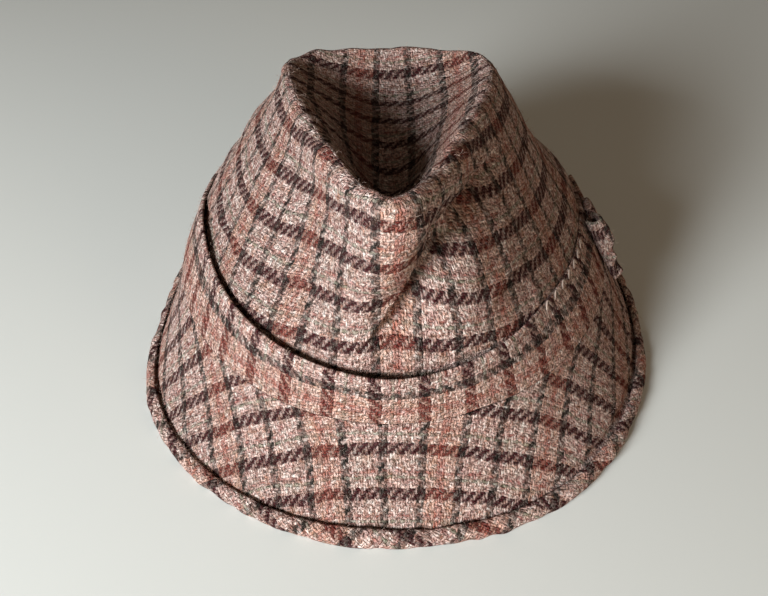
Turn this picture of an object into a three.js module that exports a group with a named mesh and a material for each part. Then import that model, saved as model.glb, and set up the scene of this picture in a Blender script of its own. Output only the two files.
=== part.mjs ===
// A soft tweed trilby, sewn from cloth: a side wall, a dented tip, a brim with a bound edge,
// a band with a flat bow at the wearer's left.
// Millimetres. The front faces -Y, the wearer's left is +X, +Z is up, and the hat stands on
// its brim. A place round the hat is a turn: 0 at the front, a quarter turn at the wearer's left.
import * as THREE from 'three';
import { mergeVertices } from 'three/addons/utils/BufferGeometryUtils.js';

const { lerp, smoothstep, degToRad, clamp } = THREE.MathUtils;
const FULL_TURN = Math.PI * 2;
const UP = new THREE.Vector3(0, 0, 1);
const WELD = 1e-3; // vertices closer than this are one

// Driving dimensions
const GAP = 0.3; // between pieces that are sewn face to face
const CLOTH = 2; // side wall and tip: tweed on its backing
// The head oval is the outside of the side wall's foot, a little fuller at the wearer's left
const HEADLINE = { halfWidth: 86, halfLength: 102.5, height: 39, leftSwell: 4 };
const RIDGE = { // the sewn edge round the top, pointed in front and square behind
  halfWidth: 42, widestY: 31, tipY: -91.5, backY: 57, tipZ: 122, backZ: 101,
  frontPower: 1.29, backPower: 2.76, softness: 0.35,
};
const CREST = { radius: 4, start: 0.86 }; // how the side wall rolls over to the ridge
const DENT = { frontInset: 20, backInset: 27, steepness: 0.75 }; // where the dent's floor line ends
const BRIM = { cloth: 2.4, rootOut: 2.2, rootBlend: 0.3, flare: 0.35, edgeZ: 1.9 };
const BINDING = { cloth: 1.4, lip: 5, nose: 1.9 };
const BAND = { cloth: 1.9, clear: 0.45 };
const BOW = { turn: degToRad(88.5), cloth: 1.6 }; // at the wearer's left, on the band
const LOOP = { length: 16, height: 26, lift: 3.5, depth: 6, knotHeight: 0.7, knotDepth: 0.6 };
const KNOT = { halfLength: 4, halfHeight: 10.5, depth: 4.2, squareness: 0.55 };
const TAIL = { length: 20, height: 20, knotHeight: 0.7, notch: 6 };

// Faces round the hat and along each piece
const SIDES = 64;
const ROWS = {
  wall: 10, crest: 3, tip: 7, brim: 5, nose: 4, band: 3, loop: 20, loopUp: 3, knot: 8, tail: 6, tailUp: 4,
};

// How far the brim's edge stands out from the headline: it hangs steepest at the wearer's right
const BRIM_SPREAD = [
  { turnDeg: 0, spread: 22.8 },
  { turnDeg: 38, spread: 26 },
  { turnDeg: 90, spread: 20.4 },
  { turnDeg: 140, spread: 19 },
  { turnDeg: 180, spread: 20 },
  { turnDeg: 225, spread: 16.5 },
  { turnDeg: 270, spread: 13.4 },
  { turnDeg: 300, spread: 23.4 },
  { turnDeg: 335, spread: 24 },
];

// How high the band's upper edge lies over the headline: lowest under the bow
const BAND_HEIGHT = [
  { turnDeg: 0, height: 21.6 },
  { turnDeg: 22, height: 21.2 },
  { turnDeg: 45, height: 20 },
  { turnDeg: 68, height: 17.4 },
  { turnDeg: 90, height: 16.6 },
  { turnDeg: 135, height: 19 },
  { turnDeg: 180, height: 20 },
  { turnDeg: 270, height: 20 },
  { turnDeg: 320, height: 21 },
  { turnDeg: 345, height: 21.8 },
];

// How far the band's upper edge stands off the side wall
const BAND_STAND = [
  { turnDeg: 0, stand: 1.2 },
  { turnDeg: 40, stand: 0.4 },
  { turnDeg: 90, stand: 0.3 },
  { turnDeg: 180, stand: 0.4 },
  { turnDeg: 240, stand: 0.4 },
  { turnDeg: 280, stand: 2.6 },
  { turnDeg: 310, stand: 2.8 },
];

// How far the side wall swells between the band and the crest, where a power of 1 is straight
const WALL_BULGE = [
  { turnDeg: 0, power: 1.12 },
  { turnDeg: 85, power: 1.06 },
  { turnDeg: 130, power: 1.12 },
  { turnDeg: 180, power: 1.4 },
  { turnDeg: 230, power: 1.16 },
];

// The two pinches in front, each a valley from under the ridge down to the band. bend keeps the
// valley near its foot's turn for longer, and sharp narrows the flank on the front's side.
const PINCHES = [
  { topDeg: 42, footDeg: -1, bend: 4, depth: 11, topSpreadDeg: 17, footSpreadDeg: 9, sharp: 0.6 },
  { topDeg: -40, footDeg: -18, bend: 1, depth: 5, topSpreadDeg: 20, footSpreadDeg: 14, sharp: 1 },
];
const PINCH_REACH = { foot: 0.12, deepFrom: 0.6, deepTo: 0.8 }; // along the climb to the crest

// Depth of the dent along its floor line, from its front end to its back end
const DENT_DEPTH = [
  { place: 0, depth: 23 },
  { place: 0.4, depth: 29 },
  { place: 1, depth: 17 },
];

const TWEED = { color: 0x8d7365, roughness: 0.95, metalness: 0 };
const BINDING_TWEED = { color: 0x6e5549, roughness: 0.95, metalness: 0 };

// A smooth curve through the rows of a table that goes once round the hat
function roundTable(rows, column) {
  const count = rows.length;
  const at = (k) => degToRad(rows[(k + count) % count].turnDeg) + FULL_TURN * Math.floor(k / count);
  const value = (k) => rows[(k + count) % count][column];
  const slope = (k) => (value(k + 1) - value(k - 1)) / (at(k + 1) - at(k - 1));
  return (turn) => {
    const wrapped = ((turn % FULL_TURN) + FULL_TURN) % FULL_TURN;
    let k = count - 1;
    while (at(k) > wrapped) k -= 1;
    const span = at(k + 1) - at(k);
    const s = (wrapped - at(k)) / span;
    const hump = s * (1 - s);
    const ease = s * s * (3 - 2 * s);
    return lerp(value(k), value(k + 1), ease) + span * hump * (slope(k) * (1 - s) - slope(k + 1) * s);
  };
}

// A straight-line table from one end to the other, eased at each row
function easedTable(rows, place, column) {
  const last = rows.length - 1;
  return (x) => {
    let k = 0;
    while (k < last - 1 && x > rows[k + 1][place]) k += 1;
    const s = smoothstep(x, rows[k][place], rows[k + 1][place]);
    return lerp(rows[k][column], rows[k + 1][column], s);
  };
}

const brimSpread = roundTable(BRIM_SPREAD, 'spread');
const bandHeight = roundTable(BAND_HEIGHT, 'height');
const bandStand = roundTable(BAND_STAND, 'stand');
const wallBulge = roundTable(WALL_BULGE, 'power');
const dentDepth = easedTable(DENT_DEPTH, 'place', 'depth');

// The head oval at a height, grown outwards all round
function headOval(turn, out, z) {
  const swell = HEADLINE.leftSwell * Math.max(0, Math.sin(turn)) ** 2;
  const x = (HEADLINE.halfWidth + out) * Math.sin(turn) + swell;
  const y = -(HEADLINE.halfLength + out) * Math.cos(turn);
  return new THREE.Vector3(x, y, z);
}

function ovalOutward(turn) {
  const x = Math.sin(turn) / HEADLINE.halfWidth;
  const y = -Math.cos(turn) / HEADLINE.halfLength;
  return new THREE.Vector3(x, y, 0).normalize();
}

const ridgeHeight = (y) => {
  const back = (y - RIDGE.tipY) / (RIDGE.backY - RIDGE.tipY);
  return lerp(RIDGE.tipZ, RIDGE.backZ, back);
};

// The ridge in plan is half a pointed oval in front and half a squarish one behind
function ridgePoint(turn) {
  const front = Math.cos(turn) > 0;
  const power = 2 / (front ? RIDGE.frontPower : RIDGE.backPower);
  const side = Math.sin(turn);
  const soft = RIDGE.softness ** 2;
  const x = RIDGE.halfWidth * side * ((side * side + soft) / (1 + soft)) ** ((power - 1) / 2);
  const reach = Math.abs(Math.cos(turn)) ** power;
  const y = lerp(RIDGE.widestY, front ? RIDGE.tipY : RIDGE.backY, reach);
  return new THREE.Vector3(x, y, ridgeHeight(y));
}

function ridgeOutward(turn) {
  const step = degToRad(2);
  const along = ridgePoint(turn + step).sub(ridgePoint(turn - step));
  return new THREE.Vector3(along.y, -along.x, 0).normalize();
}

// How far the pinches press the side wall inwards, at a climb of 0 at the band to 1 at the crest
function pinchDepth(turn, climb) {
  const turnDeg = THREE.MathUtils.radToDeg(Math.atan2(Math.sin(turn), Math.cos(turn)));
  const fade = smoothstep(climb, PINCH_REACH.foot, PINCH_REACH.deepFrom)
    * (1 - smoothstep(climb, PINCH_REACH.deepTo, 1));
  let depth = 0;
  for (const pinch of PINCHES) {
    const away = turnDeg - lerp(pinch.footDeg, pinch.topDeg, climb ** pinch.bend);
    const spread = lerp(pinch.footSpreadDeg, pinch.topSpreadDeg, climb);
    const flank = away * pinch.topDeg < 0 ? pinch.sharp : 1;
    depth += pinch.depth * fade * Math.exp(-((away / (spread * flank)) ** 2));
  }
  return depth;
}

// Outside of the side wall: a leaning wall, then a roll over to the ridge
function crownPoint(turn, rise, pinched = true) {
  const foot = headOval(turn, 0, HEADLINE.height);
  const ridge = ridgePoint(turn);
  const outward = ridgeOutward(turn);
  const run = Math.hypot(foot.x - ridge.x, foot.y - ridge.y);
  const lean = Math.atan2(run, ridge.z - foot.z);
  const roll = (swing) => ridge.clone()
    .addScaledVector(outward, CREST.radius * Math.cos(swing))
    .addScaledVector(UP, CREST.radius * (Math.sin(swing) - 1));
  if (rise >= CREST.start) {
    return roll(lerp(lean, Math.PI / 2, (rise - CREST.start) / (1 - CREST.start)));
  }
  const climb = rise / CREST.start;
  const top = roll(lean);
  const inward = climb ** wallBulge(turn);
  const point = new THREE.Vector3(
    lerp(foot.x, top.x, inward), lerp(foot.y, top.y, inward), lerp(foot.z, top.z, climb));
  return pinched ? point.addScaledVector(ovalOutward(turn), -pinchDepth(turn, climb)) : point;
}

// The dent: the tip falls from the ridge to a floor line along the middle
function tipPoint(turn, inset) {
  const ridge = ridgePoint(turn).addScaledVector(ridgeOutward(turn), -GAP);
  const floorFront = RIDGE.tipY + DENT.frontInset;
  const floorBack = RIDGE.backY - DENT.backInset;
  const floorY = clamp(ridge.y, floorFront, floorBack);
  const depth = dentDepth((floorY - floorFront) / (floorBack - floorFront));
  const fall = Math.sin((Math.PI / 2) * inset ** DENT.steepness) ** 2;
  return new THREE.Vector3(
    lerp(ridge.x, 0, inset), lerp(ridge.y, floorY, inset),
    lerp(ridge.z, ridgeHeight(floorY) - depth, fall));
}

// Upper face of the brim, from the headline down and out to its edge
function brimPoint(turn, fall) {
  const out = brimSpread(turn) * lerp(fall, fall * fall, BRIM.flare);
  const z = lerp(HEADLINE.height - GAP, BRIM.edgeZ, fall);
  return headOval(turn, BRIM.rootOut, z).addScaledVector(ovalOutward(turn), out);
}

// Band, lying on the side wall with its upper edge standing off
function bandPoint(turn, rise, out) {
  const top = crownPoint(turn, CREST.start, false);
  const climb = (rise * bandHeight(turn)) / (top.z - HEADLINE.height);
  const off = BAND.clear + bandStand(turn) * rise * rise + out;
  return crownPoint(turn, climb * CREST.start, false).addScaledVector(ovalOutward(turn), off);
}

// Square to a surface that is a function of a turn and a place across it
function normalOf(surface, turn, across) {
  const step = 1e-3;
  const round = surface(turn + step, across).sub(surface(turn - step, across));
  const over = surface(turn, Math.min(1, across + step)).sub(surface(turn, Math.max(0, across - step)));
  return round.cross(over).normalize();
}

function solidMesh(name, vertices, faces, look) {
  const geometry = new THREE.BufferGeometry();
  const places = vertices.flatMap((v) => v.toArray());
  geometry.setAttribute('position', new THREE.Float32BufferAttribute(places, 3));
  geometry.setIndex(faces.flat());
  const merged = mergeVertices(geometry, WELD);
  const index = Array.from(merged.index.array);
  const kept = [];
  for (let k = 0; k < index.length; k += 3) {
    const [a, b, c] = index.slice(k, k + 3);
    if (a !== b && b !== c && c !== a) kept.push(a, b, c);
  }
  merged.setIndex(kept);
  merged.computeVertexNormals();
  const mesh = new THREE.Mesh(merged, new THREE.MeshStandardMaterial(look));
  mesh.name = name;
  return mesh;
}

// Two triangles for a four-sided face
const quad = (a, b, c, d) => [[a, b, c], [a, c, d]];

// A wall of cloth that goes once round the hat: a skin, a lining side and the edges between them.
// closesInside leaves out the last edge, where the rows meet on a line.
function clothWall(name, skin, lining, rows, look, { turnedOver = false, closesInside = false } = {}) {
  const vertices = [];
  const faces = [];
  for (const side of [skin, lining]) {
    for (const row of rows) {
      for (let k = 0; k < SIDES; k += 1) vertices.push(side((k / SIDES) * FULL_TURN, row));
    }
  }
  const last = rows.length - 1;
  const at = (layer, row, k) => (layer * rows.length + row) * SIDES + (k % SIDES);
  for (let k = 0; k < SIDES; k += 1) {
    for (let row = 0; row < last; row += 1) {
      faces.push(...quad(at(0, row, k), at(0, row, k + 1), at(0, row + 1, k + 1), at(0, row + 1, k)));
      faces.push(...quad(at(1, row, k + 1), at(1, row, k), at(1, row + 1, k), at(1, row + 1, k + 1)));
    }
    faces.push(...quad(at(0, 0, k + 1), at(0, 0, k), at(1, 0, k), at(1, 0, k + 1)));
    if (!closesInside) {
      faces.push(...quad(at(0, last, k), at(0, last, k + 1), at(1, last, k + 1), at(1, last, k)));
    }
  }
  return solidMesh(name, vertices, turnedOver ? faces.map((f) => f.reverse()) : faces, look);
}

const evenRows = (count) => Array.from({ length: count + 1 }, (_, k) => k / count);

function crownSide() {
  const wallRows = evenRows(ROWS.wall).map((s) => s * CREST.start);
  const crestRows = evenRows(ROWS.crest).slice(1).map((s) => lerp(CREST.start, 1, s));
  const lining = (turn, rise) => {
    let square = normalOf(crownPoint, turn, rise);
    if (rise === 0) square = ovalOutward(turn);
    if (rise === 1) square = UP;
    return crownPoint(turn, rise).addScaledVector(square, -CLOTH);
  };
  return clothWall('crown_side', crownPoint, lining, [...wallRows, ...crestRows], TWEED);
}

function crownTip() {
  const lining = (turn, inset) => {
    const square = inset === 0 || inset === 1 ? UP : normalOf(tipPoint, turn, inset);
    return tipPoint(turn, inset).addScaledVector(square, -CLOTH);
  };
  return clothWall('crown_tip', tipPoint, lining, evenRows(ROWS.tip), TWEED, { closesInside: true });
}

// The brim is thicker at its root, where its seam turns in under the band
function brimUnder(turn, fall) {
  if (fall === 0) return headOval(turn, -CLOTH, HEADLINE.height - GAP);
  const thick = lerp(CLOTH + BRIM.rootOut, BRIM.cloth, smoothstep(fall, 0, BRIM.rootBlend));
  return brimPoint(turn, fall).addScaledVector(normalOf(brimPoint, turn, fall), thick);
}

function brim() {
  return clothWall('brim', brimPoint, brimUnder, evenRows(ROWS.brim), TWEED, { turnedOver: true });
}

// A strip folded over the brim's edge, its section a U, pressed flat where the hat rests on it
function brimBinding() {
  const inside = BRIM.cloth / 2 + GAP;
  const outside = inside + BINDING.cloth;
  const nose = evenRows(ROWS.nose).map((s) => {
    const angle = lerp(Math.PI / 2, -Math.PI / 2, s);
    return { along: BINDING.nose * Math.cos(angle), across: outside * Math.sin(angle) };
  });
  const section = [
    { along: GAP, across: inside },
    { along: -BINDING.lip, across: inside },
    { along: -BINDING.lip, across: outside },
    ...nose,
    { along: -BINDING.lip, across: -outside },
    { along: -BINDING.lip, across: -inside },
    { along: GAP, across: -inside },
  ];
  const vertices = [];
  const faces = [];
  for (let k = 0; k < SIDES; k += 1) {
    const turn = (k / SIDES) * FULL_TURN;
    const square = normalOf(brimPoint, turn, 1).negate();
    const edge = brimPoint(turn, 1).addScaledVector(square, -BRIM.cloth / 2);
    const downhill = brimPoint(turn, 1).sub(brimPoint(turn, 1 - 1 / ROWS.brim)).normalize();
    section.forEach((point, j) => {
      const vertex = edge.clone()
        .addScaledVector(downhill, point.along).addScaledVector(square, point.across);
      vertex.z = Math.max(vertex.z, 0);
      vertices.push(vertex);
      const next = (j + 1) % section.length;
      const far = ((k + 1) % SIDES) * section.length;
      const near = k * section.length;
      faces.push(...quad(near + j, near + next, far + next, far + j));
    });
  }
  return solidMesh('brim_binding', vertices, faces, BINDING_TWEED);
}

function hatBand() {
  const rise = (turn, s) => lerp(GAP / bandHeight(turn), 1, s);
  const outer = (turn, s) => bandPoint(turn, rise(turn, s), BAND.cloth);
  const inner = (turn, s) => bandPoint(turn, rise(turn, s), 0);
  return clothWall('hat_band', outer, inner, evenRows(ROWS.band), TWEED);
}

// A place on the bow: along the band, out from it and up its slope, from the bow's middle
function bowPoint(along, out, up) {
  const turn = BOW.turn + along / Math.hypot(
    HEADLINE.halfWidth * Math.cos(BOW.turn), HEADLINE.halfLength * Math.sin(BOW.turn));
  const middle = 0.5;
  const face = (t, rise) => bandPoint(t, rise, BAND.cloth);
  const slope = face(turn, 1).sub(face(turn, 0)).normalize();
  return face(turn, middle)
    .addScaledVector(slope, up).addScaledVector(normalOf(face, turn, middle), GAP + out);
}

// The skin and lining of a ring or strip, with the four edges between them where they are open
function stripFaces(rows, steps, closed) {
  const faces = [];
  const count = closed ? steps : steps + 1;
  const at = (layer, row, k) => (layer * (rows + 1) + row) * count + (k % count);
  for (let k = 0; k < steps; k += 1) {
    for (let row = 0; row < rows; row += 1) {
      faces.push(...quad(at(0, row, k), at(0, row, k + 1), at(0, row + 1, k + 1), at(0, row + 1, k)));
      faces.push(...quad(at(1, row, k + 1), at(1, row, k), at(1, row + 1, k), at(1, row + 1, k + 1)));
    }
    faces.push(...quad(at(0, 0, k + 1), at(0, 0, k), at(1, 0, k), at(1, 0, k + 1)));
    faces.push(...quad(at(0, rows, k), at(0, rows, k + 1), at(1, rows, k + 1), at(1, rows, k)));
  }
  for (let row = 0; row < rows && !closed; row += 1) {
    faces.push(...quad(at(0, row, 0), at(0, row + 1, 0), at(1, row + 1, 0), at(1, row, 0)));
    faces.push(...quad(at(0, row + 1, steps), at(0, row, steps), at(1, row, steps), at(1, row + 1, steps)));
  }
  return faces;
}

// The bow's loop, in front of the knot: a flat ring of cloth, low at the knot and full at its end
function bowLoop() {
  const vertices = [];
  const half = LOOP.length / 2;
  const ringPoint = (angle, inset, up) => {
    const place = (1 + Math.cos(angle)) / 2;
    const full = lerp(LOOP.knotDepth, 1, smoothstep(place, 0, 1));
    const height = lerp(LOOP.knotHeight, 1, smoothstep(place, 0, 1)) * LOOP.height;
    const along = KNOT.halfLength + GAP + half + (half - inset) * Math.cos(angle);
    const out = full * (LOOP.depth / 2 + (LOOP.depth / 2 - inset) * Math.sin(angle));
    return bowPoint(-along, out, LOOP.lift + (up - 0.5) * height);
  };
  for (const inset of [0, BOW.cloth]) {
    for (const up of evenRows(ROWS.loopUp)) {
      for (let k = 0; k < ROWS.loop; k += 1) {
        vertices.push(ringPoint((k / ROWS.loop) * FULL_TURN, inset, up));
      }
    }
  }
  return solidMesh('bow_loop', vertices, stripFaces(ROWS.loopUp, ROWS.loop, true), TWEED);
}

// The bow's tail, behind the knot: a strip that lies flat on the band, with a notched end
function bowTail() {
  const vertices = [];
  for (const out of [BOW.cloth, 0]) {
    for (const up of evenRows(ROWS.tailUp)) {
      for (const place of evenRows(ROWS.tail)) {
        const height = lerp(TAIL.knotHeight, 1, place) * TAIL.height;
        const notch = TAIL.notch * (1 - Math.abs(2 * up - 1));
        const along = KNOT.halfLength + GAP + place * (TAIL.length - notch);
        vertices.push(bowPoint(along, out, (up - 0.5) * height));
      }
    }
  }
  return solidMesh('bow_tail', vertices, stripFaces(ROWS.tailUp, ROWS.tail, false), TWEED);
}

// The knot over the middle of the bow, a cushion of wrapped cloth
function bowKnot() {
  const ball = new THREE.SphereGeometry(1, ROWS.knot * 2, ROWS.knot);
  ball.deleteAttribute('normal');
  ball.deleteAttribute('uv');
  const round = mergeVertices(ball);
  const squared = (x) => Math.sign(x) * Math.abs(x) ** KNOT.squareness;
  const vertices = [];
  for (let k = 0; k < round.attributes.position.count; k += 1) {
    const p = new THREE.Vector3().fromBufferAttribute(round.attributes.position, k);
    vertices.push(bowPoint(KNOT.halfLength * squared(p.x),
      (KNOT.depth / 2) * (1 + squared(p.z)), KNOT.halfHeight * squared(p.y)));
  }
  const index = Array.from(round.index.array);
  const faces = [];
  for (let k = 0; k < index.length; k += 3) faces.push(index.slice(k, k + 3));
  return solidMesh('bow_knot', vertices, faces, TWEED);
}

const hat = new THREE.Group();
hat.name = 'trilby';
hat.add(crownSide(), crownTip(), brim(), brimBinding(), hatBand());
hat.add(bowLoop(), bowTail(), bowKnot());

// The middle of the hat's footprint is the origin
const box = new THREE.Box3().setFromObject(hat);
const middle = box.getCenter(new THREE.Vector3());
hat.position.set(-middle.x, -middle.y, 0);

export default hat;
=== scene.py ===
# %% [markdown]
# # A soft tweed trilby
# The hat is sewn from one checked woollen cloth: a side wall, a dented tip, a brim, a strip bound
# over the brim's edge, a band and a small bow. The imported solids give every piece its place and
# size. This lesson dresses each of them with a finer mesh that follows the same formulas, and
# with a cloth that is woven in a shader.

# %% Load the frame
import math
from functools import partial
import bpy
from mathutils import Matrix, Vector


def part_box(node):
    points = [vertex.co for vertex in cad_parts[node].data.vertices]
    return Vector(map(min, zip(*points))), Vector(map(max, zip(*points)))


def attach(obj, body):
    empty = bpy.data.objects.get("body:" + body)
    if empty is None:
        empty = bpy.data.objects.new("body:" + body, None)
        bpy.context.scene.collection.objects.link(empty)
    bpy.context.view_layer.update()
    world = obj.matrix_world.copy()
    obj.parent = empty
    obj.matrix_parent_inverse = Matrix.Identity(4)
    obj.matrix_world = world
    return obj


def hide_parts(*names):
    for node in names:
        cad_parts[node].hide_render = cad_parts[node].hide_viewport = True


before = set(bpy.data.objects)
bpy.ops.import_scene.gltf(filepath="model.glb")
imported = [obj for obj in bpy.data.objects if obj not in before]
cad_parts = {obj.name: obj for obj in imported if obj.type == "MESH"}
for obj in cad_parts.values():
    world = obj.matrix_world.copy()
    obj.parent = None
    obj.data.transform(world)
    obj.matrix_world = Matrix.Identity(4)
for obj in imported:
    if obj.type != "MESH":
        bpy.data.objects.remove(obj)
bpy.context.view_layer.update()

from types import SimpleNamespace as Named

import bmesh
import bpy
import numpy as np

print("solids in the frame:", sorted(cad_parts))

# %% [markdown]
# ## Measures
# All formulas below are in millimetres, round the middle of the head. A place round the hat is a
# turn: 0 at the front, a quarter turn at the wearer's left. The head oval is read from the side
# wall's box, so that the dressed hat can't drift away from the solids. What a box can't tell,
# such as how a wall leans or bulges, is a named value or a short table.

# %% Measures of the head and the cloth
MM = 0.001
FULL_TURN = 2 * math.pi
UP = np.array([0.0, 0.0, 1.0])
SEAM_GAP = 0.3  # between pieces that are sewn face to face
CLOTH = 2.0  # side wall and tip
LEFT_SWELL = 4.0  # the head oval is fuller at the wearer's left

side_low, side_high = (np.array(corner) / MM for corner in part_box("crown_side"))
HALF_LENGTH = (side_high[1] - side_low[1]) / 2
HALF_WIDTH = (side_high[0] - side_low[0] - LEFT_SWELL) / 2
HEADLINE_Z = side_low[2]
CENTRE = np.array([side_low[0] + HALF_WIDTH, side_low[1] + HALF_LENGTH, 0.0])
print(f"head oval {2 * HALF_WIDTH:.1f} x {2 * HALF_LENGTH:.1f} mm at {HEADLINE_Z:.1f} mm")

# %% Tables that go once round the hat


def lerp(a, b, share):
    return a + (b - a) * share


def ease(x, start, end):
    share = np.clip((x - start) / (end - start), 0, 1)
    return share * share * (3 - 2 * share)


def bell(away, spread):
    return np.exp(-((away / spread) ** 2))


def round_table(rows):
    """A smooth curve through rows of (turn in degrees, value) that closes on itself."""
    places = np.radians([row[0] for row in rows])
    values = np.array([row[1] for row in rows], float)
    at = np.concatenate([places[-2:] - FULL_TURN, places, places[:2] + FULL_TURN])
    value = np.concatenate([values[-2:], values, values[:2]])
    slope = np.gradient(value)
    slope[1:-1] = (value[2:] - value[:-2]) / (at[2:] - at[:-2])

    def read(turn):
        wrapped = np.mod(turn, FULL_TURN)
        k = np.searchsorted(at, wrapped, side="right") - 1
        span = at[k + 1] - at[k]
        s = (wrapped - at[k]) / span
        curve = slope[k] * (1 - s) - slope[k + 1] * s
        return lerp(value[k], value[k + 1], s * s * (3 - 2 * s)) + span * s * (1 - s) * curve

    return read


# %% [markdown]
# ## The shape of the crown
# On the real hat the side wall leans in from the head oval to a ridge, which is pointed in front
# and square behind, and a thumb and a finger have pinched it in front. Sculpting that by hand
# would be hard to keep inside the solids, so the wall is a function of a turn and a rise.

# %% Head oval and ridge
RIDGE = Named(half_width=42.0, widest_y=31.0, tip_y=-91.5, back_y=57.0,
         tip_z=side_high[2], back_z=101.0, front_power=1.29, back_power=2.76,
         softness=0.35)


def spread_out(*columns):
    return np.stack(np.broadcast_arrays(*columns), -1)


def unit(vectors):
    return vectors / np.linalg.norm(vectors, axis=-1, keepdims=True)


def head_oval(turn, out, z):
    swell = LEFT_SWELL * np.maximum(0, np.sin(turn)) ** 2
    return spread_out((HALF_WIDTH + out) * np.sin(turn) + swell, -(HALF_LENGTH + out) * np.cos(turn), z)


def oval_outward(turn):
    return unit(spread_out(np.sin(turn) / HALF_WIDTH, -np.cos(turn) / HALF_LENGTH, 0.0))


def ridge_height(y):
    back = (y - RIDGE.tip_y) / (RIDGE.back_y - RIDGE.tip_y)
    return lerp(RIDGE.tip_z, RIDGE.back_z, back)


def ridge_point(turn):
    front = np.cos(turn) > 0
    power = 2 / np.where(front, RIDGE.front_power, RIDGE.back_power)
    side = np.sin(turn)
    soft = RIDGE.softness ** 2
    x = RIDGE.half_width * side * ((side * side + soft) / (1 + soft)) ** ((power - 1) / 2)
    end = np.where(front, RIDGE.tip_y, RIDGE.back_y)
    y = lerp(RIDGE.widest_y, end, np.abs(np.cos(turn)) ** power)
    return spread_out(x, y, ridge_height(y))


def ridge_outward(turn):
    step = math.radians(2)
    along = ridge_point(turn + step) - ridge_point(turn - step)
    return unit(spread_out(along[..., 1], -along[..., 0], 0.0))


print("ridge from front to back:", np.round(ridge_point(np.array([0, math.pi])), 1).tolist())

# %% Pinches and the leaning wall
PINCHES = [  # each a valley from under the ridge down to the band, turns and spreads in degrees
    {"top": 42, "foot": -1, "bend": 4, "depth": 11, "top_spread": 17, "foot_spread": 9, "sharp": 0.6},
    {"top": -40, "foot": -18, "bend": 1, "depth": 5, "top_spread": 20, "foot_spread": 14, "sharp": 1},
]
PINCH_REACH = Named(foot=0.12, deep_from=0.6, deep_to=0.8)
CREST = Named(radius=4.0, start=0.86)  # how the wall rolls over to the ridge
wall_bulge = round_table([(0, 1.12), (85, 1.06), (130, 1.12), (180, 1.4), (230, 1.16)])


def pinch_depth(turn, climb):
    turn_deg = np.degrees(np.arctan2(np.sin(turn), np.cos(turn)))
    fade = ease(climb, PINCH_REACH.foot, PINCH_REACH.deep_from)
    fade = fade * (1 - ease(climb, PINCH_REACH.deep_to, 1))
    depth = 0.0
    for pinch in PINCHES:
        away = turn_deg - lerp(pinch["foot"], pinch["top"], climb ** pinch["bend"])
        spread = lerp(pinch["foot_spread"], pinch["top_spread"], climb)
        flank = np.where(away * pinch["top"] < 0, pinch["sharp"], 1)
        depth = depth + pinch["depth"] * fade * bell(away, spread * flank)
    return depth


def crown_point(turn, rise, pinched=True):
    turn, rise = np.broadcast_arrays(turn, rise)
    foot = head_oval(turn, 0, HEADLINE_Z)
    ridge = ridge_point(turn)
    outward = ridge_outward(turn)
    run = np.hypot(foot[..., 0] - ridge[..., 0], foot[..., 1] - ridge[..., 1])
    lean = np.arctan2(run, ridge[..., 2] - foot[..., 2])

    def roll(swing):
        out = CREST.radius * np.cos(swing)
        up = CREST.radius * (np.sin(swing) - 1)
        return ridge + outward * out[..., None] + UP * up[..., None]

    over = np.clip((rise - CREST.start) / (1 - CREST.start), 0, 1)
    climb = np.clip(rise / CREST.start, 0, 1)
    inward = climb ** wall_bulge(turn)
    wall = lerp(foot, roll(lean), spread_out(inward, inward, climb))
    if pinched:
        wall = wall - oval_outward(turn) * pinch_depth(turn, climb)[..., None]
    return np.where((rise >= CREST.start)[..., None], roll(lerp(lean, math.pi / 2, over)), wall)


def square_to(surface, turn, place):
    """The direction square to a surface, by small steps round it and across it."""
    step = 1e-3
    round_it = surface(turn + step, place) - surface(turn - step, place)
    across = surface(turn, np.minimum(1, place + step)) - surface(turn, np.maximum(0, place - step))
    return unit(np.cross(round_it, across))


print(f"deepest pinch {pinch_depth(np.radians(np.arange(360)), 0.7).max():.1f} mm")

# %% [markdown]
# ## The cloth
# The tweed is a two-and-two twill: each thread passes over two and under two, one step further
# in each row, so a coloured stripe shows as slanting dashes. A picture of cloth would not fit the
# cut of each piece, so a node group weaves it from the cloth's own millimetres. Whole numbers of
# the thread pitch tell which warp and weft cross, a chart of runs gives each thread its wool, and
# the place along the float gives the height. Noise makes the edges ragged and the wool marled.

# %% Wools and the chart of threads
THREAD_PITCH = 1.07
WOOLS = {  # colour, and how much of it hides the heathered ground
    "ground": ("ffffff", 0.0), "green_black": ("121714", 0.97), "aubergine": ("3f151b", 0.97),
    "rust": ("b3624e", 0.68), "salmon": ("dba88f", 0.42), "sage": ("728a75", 0.55),
    "brick": ("9c4e48", 0.45),
}
HEATHER = [(0.0, "5c3e38"), (0.3, "a8867e"), (0.5, "d5b4ac"), (0.75, "f2ded7"), (1.0, "fffbf7")]
PATCHES = {"Red": ("c98a66", 0.4), "Green": ("8f8f7c", 0.3), "Blue": ("a0565a", 0.35)}  # by noise channel
WARP_RUNS = [("green_black", 3), ("salmon", 4), ("rust", 3), ("salmon", 4), ("green_black", 3),
             ("ground", 11), ("green_black", 3), ("ground", 11)]
WEFT_RUNS = [("aubergine", 4), ("ground", 3), ("sage", 1), ("ground", 1), ("brick", 1), ("ground", 5)]
RUST_THREAD = 8.5  # the middle of the warp's rust stripe, in threads
DARK_THREAD = 2.0  # the middle of the weft's dark stripe


def repeat_of(runs):
    return sum(run for _, run in runs)


def linear(code, alpha=1.0):
    """A colour code as the light values that a shader works with."""
    shares = [int(code[k:k + 2], 16) / 255 for k in (0, 2, 4)]
    return (*[s / 12.92 if s <= 0.04045 else ((s + 0.055) / 1.055) ** 2.4 for s in shares], alpha)


print(f"the check repeats every {repeat_of(WARP_RUNS) * THREAD_PITCH:.1f}"
      f" x {repeat_of(WEFT_RUNS) * THREAD_PITCH:.1f} mm")

# %% Short ways to write a node tree


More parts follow.
